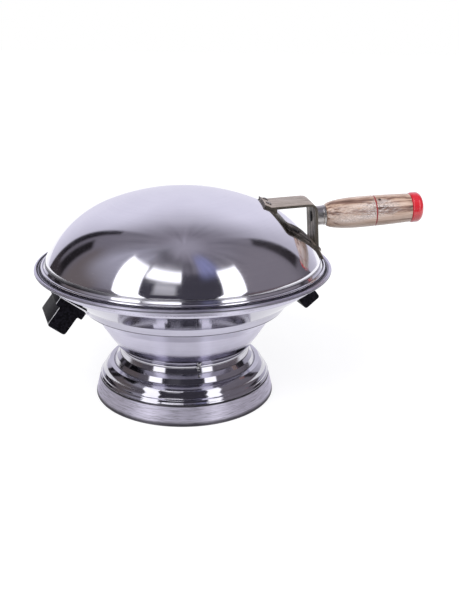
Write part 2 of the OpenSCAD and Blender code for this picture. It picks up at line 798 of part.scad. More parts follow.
bowl();
pedestal();
neck_welds();
left_handle();
right_handle();
handle_plates();
handle_bolts();
handle_washers();
handle_inserts();
flame_plate();
flame_plate_legs();
flame_plate_rivets();
rack_ring();
rack_bars();
rack_bearers();
lid_dome();
lid_bracket();
bracket_rivets_upper();
bracket_rivets_lower();
handle_ferrule();
handle_tang();
handle_grip();
handle_end_cap();
tang_nut();
tang_washer();
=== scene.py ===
"""Looks of the bati oven: polished shells, turned wood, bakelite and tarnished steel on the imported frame."""
import math

import bmesh
import bpy
from mathutils import Matrix, Vector


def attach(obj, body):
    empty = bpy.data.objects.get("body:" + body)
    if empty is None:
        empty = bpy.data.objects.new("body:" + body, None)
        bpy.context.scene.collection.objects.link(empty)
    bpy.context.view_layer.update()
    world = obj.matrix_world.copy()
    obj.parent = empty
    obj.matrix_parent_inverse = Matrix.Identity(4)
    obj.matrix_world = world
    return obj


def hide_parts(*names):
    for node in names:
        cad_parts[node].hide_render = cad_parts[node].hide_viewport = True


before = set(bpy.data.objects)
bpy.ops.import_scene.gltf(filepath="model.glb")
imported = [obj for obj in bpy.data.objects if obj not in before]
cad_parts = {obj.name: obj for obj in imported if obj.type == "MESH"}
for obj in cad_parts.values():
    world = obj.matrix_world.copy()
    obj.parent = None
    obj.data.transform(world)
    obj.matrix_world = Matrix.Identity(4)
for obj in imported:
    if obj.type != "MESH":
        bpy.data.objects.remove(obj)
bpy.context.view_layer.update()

MM = 0.001

# The camera, as fitted to the rim and foot ellipses of the photograph: pixels, millimetres and degrees
IMAGE_H, FOCAL_PX, SENSOR_W = 612, 774.8, 36
CAMERA_BACK, CAMERA_UP = 764.4, 364.7
CAMERA_PITCH, CAMERA_YAW, CAMERA_ROLL = 19.67, 3.53, 0.81
# The lid's handle, turned from the camera's side axis
TURN = 3.5

# Sizes in millimetres. Most repeat the part's source. The steps, the shoulder's leans and the lid's foot were
# refitted to what the photograph mirrors.
BOWL_T, LID_T, PEDESTAL_T = 2.0, 1.8, 2.0
FLUE_R, NECK_R, TURN_R, WAIST_R, SHELF_R, FLARE_R, MOUTH_R = 40.0, 66.0, 72.5, 91.0, 105.0, 110.5, 139.5
PEDESTAL_H, TURN_Z, WAIST_Z, SHELF_Z, FLARE_Z, MOUTH_Z, RIM_Z = 52.0, 57.9, 87.5, 98.6, 107.3, 129.8, 139.5
BEAD_R, BEAD_MID_R = 1.8, 148.2
# The groove under the bowl's band: corners from the shelf's edge, each with its radius
BAND_GROOVE = [(-0.5, -0.4, 0.2), (-0.7, 0.3, 0.15), (0.5, 0.8, 0.3)]
RING_W, RING_H = 0.8, 2.4
UPPER_STEP, LOWER_STEP = (71.6, 40.4), (79.4, 35.0)
UPPER_RISER, LOWER_RISER = (67.6, 44.1), (74.2, 35.4)
STEP_W = 1.2
SHOULDER, FOOT_R, LIP_W = (89.6, 21.0), 94.5, 10.0
# How the shoulder leans, in degrees at shares of its length from its edge up
SHOULDER_LEANS = [(0.0, 10), (0.04, 40), (0.12, 40), (0.16, 16), (0.20, 18), (0.26, 46), (0.33, 40), (0.42, 22),
                  (0.53, 14), (0.63, 20), (0.75, 36), (0.88, 43), (1.0, 45)]
SEAT_Z, DOME_TOP_Z, DOME_R = 139.8, 215.5, 141.0
DOME_FOOT_Z, DOME_WALL_R, DOME_TURN_R = 143.0, 138.6, 10.0
CROWN_R, KNUCKLE_R = 217.59, 113.90
LID_BEAD_R, LID_BEAD_MID_R = 1.4, 142.1
HANDLE_X, HANDLE_Z, HANDLE_TILT = 131.5, 185.5, 4.2
FERRULE_Z0, FERRULE_L, FERRULE_R, FERRULE_WALL = 1.35, 12.0, 10.2, 1.4
GRIP_Z0, GRIP_L, GRIP_R, GRIP_END_R, GRIP_BELLY = 13.45, 88.0, 15.85, 14.5, 0.4
SPIGOT_R, SPIGOT_INSET, END_SPIGOT_R, END_GAP = 8.65, 1.5, 12.25, 0.2
TANG_BORE_R, POCKET_R, POCKET_Z = 3.65, 7.8, 101.65
CAP_Z0, CAP_L, CAP_R, CAP_WALL, CAP_SOCKET, CAP_LIP = 101.55, 12.5, 15.6, 3.2, 7.0, 2.8
PAINT_RING_Z, PAINT_RING_W, PAINT_RING_DEPTH = 64.0, 0.75, 0.35
# The side handles: their turn about the axis in degrees, and how far their ends lie from their middle in metres
SIDE_HANDLE_TURN, SIDE_HANDLE_END = 12.5, 0.025
# A knot in the grip, in metres across and along the handle
KNOT = (-0.0128, -0.0084, 0.0682)

# How finely the turned pieces are cut
SHELL_SEGMENTS, HANDLE_SEGMENTS = 256, 96
CORNER_STEPS, LEAN_STEPS, LEAN_TRIES = 6, 64, 6
BOWL_BEAD_STEPS, LID_BEAD_STEPS = 28, 24
DOME_TURN_STEPS, KNUCKLE_STEPS, CROWN_STEPS = 16, 40, 24
CAP_LIP_STEPS, CAP_CROWN_STEPS = 10, 16
GRIP_STEPS, GRIP_CROWDING = 72, 1.7
SAME_SPOT, ON_AXIS = 1e-4, 1e-6

# How the CAD copies are cleaned and their edges broken: metres, degrees and rows of faces
WELD_REACH, FLAT_ANGLE, BEVEL_ANGLE, BEVEL_ROWS, SMOOTH_ANGLE = 2e-6, 0.4, 32, 3, 38


# Paths of a lathe: points in the (r, z) half plane, and for each leg the normals at its two ends

def right_of(a, b):
    d = (Vector(b) - Vector(a)).normalized()
    return Vector((d.y, -d.x))


def normals_at(corners, i):
    """The normals of the legs before and after a corner, None where the path ends."""
    spot = corners[i][:2]
    before = right_of(corners[i - 1][:2], spot) if i > 0 else None
    after = right_of(spot, corners[i + 1][:2]) if i < len(corners) - 1 else None
    return before, after


def legs_of(normals):
    return list(zip(normals, normals[1:]))


def rounded(corners):
    """A path through (r, z, radius) corners, each rounded, with the outside on its right."""
    stops = []
    for i, (r, z, radius) in enumerate(corners):
        p = Vector((r, z))
        before, after = normals_at(corners, i)
        if before is None or after is None or radius == 0:
            stops.append((p, before, after))
            continue
        u = (Vector(corners[i - 1][:2]) - p).normalized()
        v = (Vector(corners[i + 1][:2]) - p).normalized()
        half = u.angle(v) / 2
        mid = p + (u + v).normalized() * radius / math.sin(half)
        start, end = p + u * radius / math.tan(half), p + v * radius / math.tan(half)
        a0 = math.atan2(start.y - mid.y, start.x - mid.x)
        a1 = math.atan2(end.y - mid.y, end.x - mid.x)
        turn = (a1 - a0 + math.pi) % (2 * math.pi) - math.pi
        sign = 1 if turn > 0 else -1
        for k in range(CORNER_STEPS + 1):
            a = a0 + turn * k / CORNER_STEPS
            out = Vector((math.cos(a), math.sin(a)))
            stops.append((mid + radius * out, sign * out, sign * out))
    return [stop[0] for stop in stops], [(a[2], b[1]) for a, b in zip(stops, stops[1:])]


def arc_path(mid, radius, a0, a1, steps, sign=1):
    """An arc from angle a0 to a1 in degrees; its normals point away from mid, or to it where sign is -1."""
    points, normals = [], []
    for k in range(steps + 1):
        a = math.radians(a0 + (a1 - a0) * k / steps)
        out = Vector((math.cos(a), math.sin(a)))
        points.append(Vector(mid) + radius * out)
        normals.append(sign * out)
    return points, legs_of(normals)


def leaning_path(start, end, leans):
    """A path from start to end whose normal rises by the given degrees at given shares of its length."""
    goal = Vector(end) - Vector(start)

    def lean_at(share):
        for (s0, t0), (s1, t1) in zip(leans, leans[1:]):
            if share <= s1:
                return t0 + (t1 - t0) * (share - s0) / (s1 - s0)
        return leans[-1][1]

    def walk(shift):
        spots = [Vector((0, 0))]
        for k in range(LEAN_STEPS):
            t = math.radians(lean_at((k + 0.5) / LEAN_STEPS) + shift)
            spots.append(spots[-1] + Vector((-math.sin(t), math.cos(t))))
        return spots

    # The whole path is turned until it heads for its end
    shift = 0.0
    for _ in range(LEAN_TRIES):
        reach = walk(shift)[-1]
        shift += math.degrees(math.atan2(goal.y, goal.x) - math.atan2(reach.y, reach.x))
    spots = walk(shift)
    scale = goal.length / spots[-1].length
    tilts = [math.radians(lean_at(k / LEAN_STEPS) + shift) for k in range(LEAN_STEPS + 1)]
    normals = [Vector((math.cos(t), math.sin(t))) for t in tilts]
    return [Vector(start) + scale * p for p in spots], legs_of(normals)


def joined(first, *others, closed=True):
    """The paths one after the other, with straight legs where their ends lie apart."""
    points, legs = list(first[0]), list(first[1])
    for path_points, path_legs in others:
        if (points[-1] - path_points[0]).length > SAME_SPOT:
            n = right_of(points[-1], path_points[0])
            legs.append((n, n))
            points.append(path_points[0])
        points.extend(path_points[1:])
        legs.extend(path_legs)
    if closed and (points[-1] - points[0]).length > SAME_SPOT:
        n = right_of(points[-1], points[0])
        legs.append((n, n))
    elif closed:
        points.pop()
    return points, legs


def linked(name, data):
    """A new object in the scene."""
    made = bpy.data.objects.new(name, data)
    bpy.context.scene.collection.objects.link(made)
    return made


def lathe(name, path, segments, place=None):
    """Turns a path about Z into a mesh with exact normals."""
    points, legs = path
    angles = [2 * math.pi * j / segments for j in range(segments)]
    spokes = [(math.cos(a), math.sin(a)) for a in angles]
    verts, rings = [], []
    for p in points:
        if p.x < ON_AXIS:
            rings.append([len(verts)] * segments)
            verts.append((0.0, 0.0, p.y * MM))
            continue
        rings.append(list(range(len(verts), len(verts) + segments)))
        verts.extend((p.x * c * MM, p.x * s * MM, p.y * MM) for c, s in spokes)
    faces, normals = [], []
    for i, (n0, n1) in enumerate(legs):
        low, high = rings[i], rings[(i + 1) % len(rings)]
        for j in range(segments):
            k = (j + 1) % segments
            face = []
            for corner in [(low[j], n0, j), (low[k], n0, k), (high[k], n1, k), (high[j], n1, j)]:
                if all(corner[0] != c[0] for c in face):
                    face.append(corner)
            if len(face) < 3:
                continue
            faces.append([c[0] for c in face])
            normals.extend((n.x * spokes[t][0], n.x * spokes[t][1], n.y) for _, n, t in face)
    if place is not None:
        verts = [place @ Vector(v) for v in verts]
        normals = [place.to_3x3() @ Vector(n) for n in normals]
    mesh = bpy.data.meshes.new(name)
    mesh.from_pydata(verts, [], faces)
    mesh.polygons.foreach_set("use_smooth", [True] * len(mesh.polygons))
    mesh.update()
    mesh.normals_split_custom_set(normals)
    return linked(name, mesh)


def bevelled(name, node, width):
    """A copy of a CAD node with its sharp edges rounded by width in millimetres, and marked as edge."""
    bm = bmesh.new()
    bm.from_mesh(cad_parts[node].data)
    edge = bm.faces.layers.float.new("edge")
    bmesh.ops.remove_doubles(bm, verts=bm.verts, dist=WELD_REACH)
    bmesh.ops.dissolve_limit(bm, angle_limit=math.radians(FLAT_ANGLE), verts=bm.verts, edges=bm.edges)
    sharp = [e for e in bm.edges
             if len(e.link_faces) == 2 and e.calc_face_angle() > math.radians(BEVEL_ANGLE)]
    broken = bmesh.ops.bevel(bm, geom=sharp, offset=width * MM, segments=BEVEL_ROWS, profile=0.5,
                             affect="EDGES", clamp_overlap=True)
    for face in broken["faces"]:
        face[edge] = 1.0
    mesh = bpy.data.meshes.new(name)
    bm.to_mesh(mesh)
    bm.free()
    mesh.polygons.foreach_set("use_smooth", [True] * len(mesh.polygons))
    mesh.set_sharp_from_angle(angle=math.radians(SMOOTH_ANGLE))
    return linked(name, mesh)


# Node networks

# Sockets of a colour mix
MIX_SHARE, MIX_A, MIX_B, MIX_RESULT = 0, 6, 7, 2


class Net:
    """Short calls for building a node tree. A value is a number, a colour or another node's socket."""

    def __init__(self, tree):
        self.tree = tree

    def add(self, kind, **settings):
        node = self.tree.nodes.new(kind)
        for key, value in settings.items():
            setattr(node, key, value)
        return node

    def put(self, socket, value):
        if isinstance(value, bpy.types.NodeSocket):
            self.tree.links.new(value, socket)
        else:
            socket.default_value = value

    def math(self, operation, *values):
        node = self.add("ShaderNodeMath", operation=operation)
        for socket, value in zip(node.inputs, values):
            self.put(socket, value)
        return node.outputs[0]

    def plus(self, a, b):
        return self.math("ADD", a, b)

    def minus(self, a, b):
        return self.math("SUBTRACT", a, b)

    def times(self, a, b):
        return self.math("MULTIPLY", a, b)

    def most(self, a, b):
        return self.math("MAXIMUM", a, b)

    def other(self, share):
        """What is left of 1."""
        return self.minus(1.0, share)

    def weighed(self, a, a_weight, b, b_weight):
        return self.plus(self.times(a, a_weight), self.times(b, b_weight))

    def step(self, value, low, high, kind="SMOOTHSTEP"):
        """0 below low, 1 above high."""
        node = self.add("ShaderNodeMapRange", interpolation_type=kind)
        self.put(node.inputs["Value"], value)
        self.put(node.inputs["From Min"], low)
        self.put(node.inputs["From Max"], high)
        return node.outputs["Result"]

    def scaled(self, value, low, high):
        """A 0 to 1 value brought to low to high."""
        node = self.add("ShaderNodeMapRange", clamp=True)
        self.put(node.inputs["Value"], value)
        node.inputs["To Min"].default_value = low
        node.inputs["To Max"].default_value = high
        return node.outputs["Result"]

    def between(self, value, low, high, soft):
        """1 from low to high, and 0 outside them."""
        above = self.step(value, self.minus(low, soft), self.plus(low, soft))
        below = self.step(value, self.minus(high, soft), self.plus(high, soft))
        return self.times(above, self.other(below))

    def mix(self, share, a, b):
        """Colour a where share is 0, colour b where it is 1."""
        node = self.add("ShaderNodeMix", data_type="RGBA")
        for index, value in ((MIX_SHARE, share), (MIX_A, a), (MIX_B, b)):
            self.put(node.inputs[index], (*value, 1) if isinstance(value, tuple) else value)
        return node.outputs[MIX_RESULT]

    def ramp(self, value, stops):
        """A colour that runs through (place, colour) stops."""
        node = self.add("ShaderNodeValToRGB")
        elements = node.color_ramp.elements
        while len(elements) < len(stops):
            elements.new(0.5)
        for element, (place, colour) in zip(elements, stops):
            element.position = place
            element.color = (*colour, 1)
        self.put(node.inputs[0], value)
        return node.outputs[0]

    def xyz(self, vector):
        node = self.add("ShaderNodeSeparateXYZ")
        self.put(node.inputs[0], vector)
        return node.outputs

    def vector(self, x, y, z):
        node = self.add("ShaderNodeCombineXYZ")
        for socket, value in zip(node.inputs, (x, y, z)):
            self.put(socket, value)
        return node.outputs[0]

    def drawn_out(self, spot, factors):
        """The vector of x, y and z, each times its own factor."""
        return self.vector(*(self.times(value, factor) for value, factor in zip(spot, factors)))

    def noise(self, vector, scale, detail, rough, w=None, distortion=0.0):
        node = self.add("ShaderNodeTexNoise", noise_dimensions="3D" if w is None else "4D")
        self.put(node.inputs["Vector"], vector)
        if w is not None:
            self.put(node.inputs["W"], w)
        node.inputs["Scale"].default_value = scale
        node.inputs["Detail"].default_value = detail
        node.inputs["Roughness"].default_value = rough
        node.inputs["Distortion"].default_value = distortion
        return node.outputs["Fac"]

    def bump(self, height, strength, distance):
        node = self.add("ShaderNodeBump")
        node.inputs["Strength"].default_value = strength
        node.inputs["Distance"].default_value = distance
        self.put(node.inputs["Height"], height)
        return node.outputs[0]

    def place(self):
        return self.add("ShaderNodeTexCoord").outputs["Object"]

    def true_normal(self):
        return self.xyz(self.add("ShaderNodeNewGeometry").outputs["True Normal"])

    def edge(self):
        """1 on the broken edges of a CAD copy."""
        return self.add("ShaderNodeAttribute", attribute_name="edge").outputs["Fac"]


# The tones between which a metal goes from dull to bright, and how deep its fine lines are, in metres
DULL_TONE, BRIGHT_TONE, TOOTH = 0.34, 0.66, 0.0002


def material(name, **values):
    """A material with one principled shader; values are set on its own sockets."""
    mat = bpy.data.materials.new(name)
    mat.use_nodes = True
    shader = mat.node_tree.nodes["Principled BSDF"]
    for key, value in values.items():
        shader.inputs[key.replace("_", " ")].default_value = value
    return mat, Net(mat.node_tree), shader


def surface(net, shader, colour, roughness, normal):
    net.put(shader.inputs["Base Color"], colour)
    net.put(shader.inputs["Roughness"], roughness)
    net.put(shader.inputs["Normal"], normal)


def handle_place_of(net):
    """The place along and across the lid's handle, whose axis is its Z."""
    node = net.add("ShaderNodeMapping", vector_type="TEXTURE")
    net.put(node.inputs["Vector"], net.place())
    node.inputs["Location"].default_value = (HANDLE_X * MM, 0, HANDLE_Z * MM)
    node.inputs["Rotation"].default_value = (0, math.radians(90 - HANDLE_TILT), 0)
    return node.outputs[0]


def round_axis(net, place):
    """(radius, height, cosine, sine) about Z, for lines that run round a turned piece."""
    x, y, z = net.xyz(place)
    radius = net.math("SQRT", net.plus(net.times(x, x), net.times(y, y)))
    safe = net.most(radius, 0.0005)
    return radius, z, net.math("DIVIDE", x, safe), net.math("DIVIDE", y, safe)


def spin_lines(net, place, pitch, turns, detail):
    """Noise drawn out along the turning direction, with lines about pitch metres apart."""
    radius, z, c, s = round_axis(net, place)
    vector = net.vector(net.times(c, turns), net.times(s, turns), net.math("DIVIDE", z, pitch))
    return net.noise(vector, 1.0, detail, 0.55, w=net.math("DIVIDE", radius, pitch))


# Spun metal: spacing of the lines, and how far zones fade, in metres
FINE_PITCH, SCRATCH_PITCH = 0.0011, 0.0007
SATIN_FADE, SATIN_EDGE, SKIRT_EDGE, SOIL_EDGE = 0.004, 0.0003, 0.0005, 0.0002
FROST_DULL, FROST_BRIGHT = (0.60, 0.58, 0.69), (0.70, 0.68, 0.80)
SKIRT_STREAKS = [(0.28, (0.26, 0.243, 0.295)), (0.44, (0.61, 0.582, 0.685)), (0.64, (0.80, 0.768, 0.89))]
# The skirt's darker foot: where it ends, in metres, and how its end wavers
FOOT_DARK_LOW, FOOT_DARK_HIGH, FOOT_DARK_WAVER, FOOT_DARK_SHARE = 0.0028, 0.0062, 0.0016, 0.85
FOOT_DARK, SOIL_AND_SHADE = (0.035, 0.032, 0.036), (0.040, 0.037, 0.044)
# How much soil dulls the metal, and how far the painted shade on one side fades, in millimetres
SOIL_DULLS, SIDE_SHADE_FADE = 0.25, 25


def frosted_zones(net, z, patches, zones, colour, roughness):
    """Satin bands from a low to a high z in metres, each rougher by an amount."""
    for low, high, amount in zones:
        zone = net.times(net.step(z, low - SATIN_FADE, low + SATIN_FADE),
                         net.other(net.step(z, high - SATIN_EDGE, high + SATIN_EDGE)))
        roughness = net.math("MULTIPLY_ADD", zone, amount, roughness)
        colour = net.mix(zone, colour, net.mix(patches, FROST_DULL, FROST_BRIGHT))
    return colour, roughness


def brushed_skirt(net, place, z, smudge, top, colour, roughness, height):
    """Coarse scratches round the piece below top, darker towards the foot."""
    coarse = spin_lines(net, place, SCRATCH_PITCH, 8.0, 5)
    skirt = net.other(net.step(z, top - SKIRT_EDGE, top + SKIRT_EDGE))
    # Darker towards the foot of the skirt
    darker_foot = net.other(net.step(net.plus(z, net.times(smudge, FOOT_DARK_WAVER)), FOOT_DARK_LOW, FOOT_DARK_HIGH))
    streak = net.mix(net.times(darker_foot, FOOT_DARK_SHARE), net.ramp(coarse, SKIRT_STREAKS), FOOT_DARK)
    rubbed = net.scaled(coarse, 0.46, 0.62)
    roughness = net.plus(net.times(roughness, net.other(skirt)), net.times(rubbed, skirt))
    height = net.plus(height, net.times(net.times(coarse, skirt), 0.5))
    return net.mix(skirt, colour, streak), roughness, height


def soiled_and_shaded(net, x, z, radius, smudge, creases, colour, roughness):
    # Rings of soil and painted shade in the creases; with a limit, painted shade on the left side only
    for r0, r1, z0, z1, share, *left_of in creases:
        ring = net.times(net.between(radius, r0 * MM, r1 * MM, SOIL_EDGE),
                         net.between(z, z0 * MM, z1 * MM, SOIL_EDGE))
        ring = net.times(ring, net.scaled(smudge, 0.5 * share, 1.5 * share))
        for limit in left_of:
            there = net.other(net.step(x, (limit - SIDE_SHADE_FADE) * MM, (limit + SIDE_SHADE_FADE) * MM))
            ring = net.times(ring, there)
        colour = net.mix(ring, colour, SOIL_AND_SHADE)
        roughness = net.math("MULTIPLY_ADD", ring, SOIL_DULLS, roughness)
    return colour, roughness


def spun_aluminium(name, bright, dull, polish, wobble, creases, skirt_top=None, satin=()):
    """Spun metal: fine turned lines smear the mirrored image across themselves."""
    mat, net, shader = material(name, Metallic=1.0, Anisotropic=0.85, Anisotropic_Rotation=0.25)
    place = net.place()
    x = net.xyz(place)[0]
    radius, z = round_axis(net, place)[:2]
    smudge = net.noise(place, 24, 4, 0.6)
    fine = spin_lines(net, place, FINE_PITCH, 1.6, 3)
    tone = net.weighed(smudge, 0.6, fine, 0.4)
    patches = net.step(tone, DULL_TONE, BRIGHT_TONE)
    colour = net.mix(patches, dull, bright)
    roughness = net.scaled(net.step(tone, 0.30, 0.70), *polish)
    colour, roughness = frosted_zones(net, z, patches, satin, colour, roughness)
    height = net.weighed(fine, 0.008, net.noise(place, 38, 3, 0.5), wobble)
    if skirt_top is not None:
        colour, roughness, height = brushed_skirt(net, place, z, smudge, skirt_top, colour, roughness, height)
    colour, roughness = soiled_and_shaded(net, x, z, radius, smudge, creases, colour, roughness)
    surface(net, shader, colour, roughness, net.bump(height, 0.5, TOOTH))
    tangent = net.add("ShaderNodeTangent", direction_type="RADIAL", axis="Z")
    net.put(shader.inputs["Tangent"], tangent.outputs[0])
    return mat


def worn_steel(name, light, dark, rough, along=(1, 1, 1), scale=90, bump=0.3):
    """Plain metal with streaks along one way, dull patches and a fine tooth."""
    mat, net, shader = material(name, Metallic=1.0)
    place = net.place()
    streak = net.noise(net.drawn_out(net.xyz(place), along), scale, 5, 0.6)
    patch = net.noise(place, 60, 3, 0.55)
    tone = net.weighed(streak, 0.6, patch, 0.4)
    colour = net.mix(net.step(tone, DULL_TONE, BRIGHT_TONE), dark, light)
    surface(net, shader, colour, net.scaled(tone, *rough), net.bump(streak, bump, TOOTH))
    return mat


STRAP_STRETCH = (34, 420, 34)
STRAP_CLEAN = [(0.30, (0.19, 0.155, 0.120)), (0.46, (0.47, 0.400, 0.325)), (0.60, (0.64, 0.550, 0.475)),
               (0.74, (0.80, 0.73, 0.67))]
STRAP_SOOT_AND_SHADE = [(0.38, (0.014, 0.012, 0.009)), (0.50, (0.130, 0.112, 0.082)), (0.60, (0.42, 0.370, 0.310))]
STRAP_SIDE_SHADE = (0.035, 0.032, 0.026)


def shaded_sooted_strap(name):
    """Bent strap: brownish where it faces up or out; painted shade and soot where it faces down and in."""
    mat, net, shader = material(name, Metallic=0.75)
    place = net.place()
    streak = net.noise(net.drawn_out(net.xyz(place), STRAP_STRETCH), 1.0, 5, 0.65)
    patch = net.noise(place, 75, 4, 0.6)
    soot_and_shade = net.ramp(net.weighed(streak, 0.7, patch, 0.3), STRAP_SOOT_AND_SHADE)
    nx, ny, nz = net.true_normal()
    # Painted shade: faces turned down and in toward the oven take the dark, soot-streaked colour
    facing = net.weighed(nx, -0.6, nz, -0.8)
    inside = net.step(net.plus(facing, net.times(net.minus(patch, 0.5), 0.5)), 0.1, 0.4)
    # Painted shade: the strap's long sides and its broken edges are darkened
    side = net.most(net.step(net.math("ABSOLUTE", ny), 0.5, 0.9), net.times(net.edge(), 0.7))
    colour = net.mix(inside, net.ramp(streak, STRAP_CLEAN), soot_and_shade)
    surface(net, shader, net.mix(net.times(side, 0.85), colour, STRAP_SIDE_SHADE), net.scaled(streak, 0.62, 0.36),
            net.bump(streak, 0.35, TOOTH))
    return mat


WELD_CRUST = [(0.40, (0.012, 0.010, 0.012)), (0.49, (0.10, 0.096, 0.104)), (0.58, (0.85, 0.84, 0.87))]


def weld_metal(name):
    mat, net, shader = material(name, Metallic=0.9)
    crust = net.noise(net.place(), 700, 5, 0.7, distortion=0.4)
    surface(net, shader, net.ramp(crust, WELD_CRUST), net.scaled(crust, 0.6, 0.3), net.bump(crust, 0.9, 0.0012))
    return mat


BLACK_DEEP, BLACK_PALE, BLACK_EDGE_HIGHLIGHT = (0.0020, 0.0018, 0.0027), (0.012, 0.011, 0.016), (0.62, 0.61, 0.64)
# The painted highlight line at a grip's end: where it starts and is full, in metres from the end
HIGHLIGHT_START, HIGHLIGHT_FULL = 0.0014, 0.0010


def bakelite(name):
    """Black moulded grips, with a painted highlight beside their upper edges."""
    mat, net, shader = material(name, Specular_IOR_Level=0.035)
    place = net.place()
    cloud = net.noise(place, 45, 4, 0.6)
    tooth = net.noise(place, 500, 3, 0.6)
    upward = net.xyz(net.add("ShaderNodeNewGeometry").outputs["Normal"])[2]
    turn = math.radians(SIDE_HANDLE_TURN)

    def across(spot):
        return net.math("ABSOLUTE", net.weighed(spot[0], -math.sin(turn), spot[1], math.cos(turn)))

    # Painted highlight: pale lines beside the grips' ends and on their broken edges, only where they face up
    at_end = net.step(across(net.xyz(place)), SIDE_HANDLE_END - HIGHLIGHT_START, SIDE_HANDLE_END - HIGHLIGHT_FULL)
    end_face = net.step(across(net.true_normal()), 0.5, 0.9)
    lit_edges = net.most(net.times(at_end, net.other(end_face)), net.edge())
    lit_edges = net.times(lit_edges, net.step(upward, -0.2, 0.5))
    # The painted highlight, broken into patches by the cloud
    rubbed = net.times(lit_edges, net.step(cloud, 0.25, 0.50))
    black = net.mix(net.step(tooth, 0.35, 0.68), BLACK_DEEP, BLACK_PALE)
    surface(net, shader, net.mix(rubbed, black, BLACK_EDGE_HIGHLIGHT), net.scaled(cloud, 0.34, 0.50),
            net.bump(tooth, 0.08, 0.0003))
    return mat


RED_DEEP, RED_LIGHT = (0.46, 0.006, 0.016), (0.68, 0.018, 0.034)


def red_plastic(name):
    mat, net, shader = material(name, Coat_Weight=1.0, Coat_Roughness=0.07)
    place = net.place()
    cloud = net.noise(place, 70, 3, 0.5)
    wave = net.noise(place, 160, 2, 0.5)
    surface(net, shader, net.mix(cloud, RED_DEEP, RED_LIGHT), net.scaled(cloud, 0.20, 0.34),
            net.bump(wave, 0.06, 0.0006))
    return mat


# How finely the wood's sway, grain and pores run across and along the grip, per metre
SWAY_STRETCH, GRAIN_STRETCH, PORE_STRETCH = (30, 30, 14), (190, 190, 11), (900, 900, 170)
WOOD_GRAIN = [(0.30, (0.060, 0.028, 0.022)), (0.41, (0.22, 0.125, 0.092)), (0.48, (0.47, 0.325, 0.250)),
              (0.58, (0.60, 0.450, 0.37)), (0.74, (0.74, 0.62, 0.56))]
WOOD_PORE, WOOD_KNOT, RING_PAINT = (0.085, 0.046, 0.034), (0.050, 0.025, 0.020), (0.26, 0.020, 0.022)
CRAZED_HIGHLIGHT, CRAZED_CRACK = (0.72, 0.68, 0.68), (0.11, 0.075, 0.065)
CRACKS_PER_M = 520


def turned_wood(name):
    """Varnished wood, with grain along the piece's own Z and a thin painted ring."""
    mat, net, shader = material(name, Coat_Weight=0.35, Coat_Roughness=0.22)
    x, y, z = net.xyz(handle_place_of(net))
    sway = net.noise(net.drawn_out((x, y, z), SWAY_STRETCH), 1.0, 2, 0.5)
    lean = net.times(net.minus(sway, 0.5), 0.02)
    grain = net.noise(net.drawn_out((net.plus(x, lean), net.plus(y, lean), z), GRAIN_STRETCH), 1.0, 4, 0.6)
    pores = net.noise(net.drawn_out((x, y, z), PORE_STRETCH), 1.0, 3, 0.65)
    colour = net.mix(net.times(net.step(pores, 0.58, 0.72), 0.65), net.ramp(grain, WOOD_GRAIN), WOOD_PORE)
    # Crazed varnish with a painted highlight: whitened along the upper front, most of it beyond the painted ring
    cells = net.add("ShaderNodeTexVoronoi", feature="DISTANCE_TO_EDGE")
    bent = net.times(net.minus(pores, 0.5), 0.004)
    net.put(cells.inputs["Vector"], net.vector(net.plus(x, bent), net.plus(y, bent),
                                               net.times(net.plus(z, bent), 0.6)))
    cells.inputs["Scale"].default_value = CRACKS_PER_M
    crack = net.other(net.step(cells.outputs["Distance"], 0.03, 0.12))
    front = net.plus(net.weighed(x, -16.0, y, -63.0), net.times(net.minus(sway, 0.5), 1.2))
    crazed_and_lit = net.times(net.step(front, 0.66, 0.90), net.scaled(net.step(z, 0.040, 0.066), 0.35, 1.0))
    crazed_and_lit = net.times(crazed_and_lit, net.step(net.plus(grain, pores), 0.80, 1.02))
    colour = net.mix(net.times(crazed_and_lit, 0.70), colour, CRAZED_HIGHLIGHT)
    colour = net.mix(net.times(crazed_and_lit, crack), colour, CRAZED_CRACK)
    reach = net.add("ShaderNodeVectorMath", operation="DISTANCE")
    net.put(reach.inputs[0], net.vector(x, y, z))
    reach.inputs[1].default_value = KNOT
    knot = net.other(net.step(reach.outputs["Value"], 0.0009, 0.0024))
    colour = net.mix(knot, colour, WOOD_KNOT)
    off = net.math("ABSOLUTE", net.minus(z, PAINT_RING_Z * MM))
    ring = net.other(net.step(off, 0.8 * PAINT_RING_W * MM, 1.1 * PAINT_RING_W * MM))
    colour = net.mix(ring, colour, RING_PAINT)
    height = net.minus(grain, net.times(pores, 0.4))
    surface(net, shader, colour, net.scaled(grain, 0.52, 0.32), net.bump(height, 0.22, 0.0004))
    return mat


IRON_SCALE = [(0.36, (0.045, 0.043, 0.045)), (0.52, (0.11, 0.10, 0.10)), (0.66, (0.20, 0.155, 0.13))]


def heat_scaled_iron(name):
    mat, net, shader = material(name, Metallic=0.7)
    place = net.place()
    scale = net.noise(place, 120, 5, 0.65)
    bloom = net.noise(place, 26, 3, 0.5)
    surface(net, shader, net.ramp(net.weighed(scale, 0.5, bloom, 0.5), IRON_SCALE), net.scaled(scale, 0.50, 0.80),
            net.bump(scale, 0.35, 0.0006))
    return mat


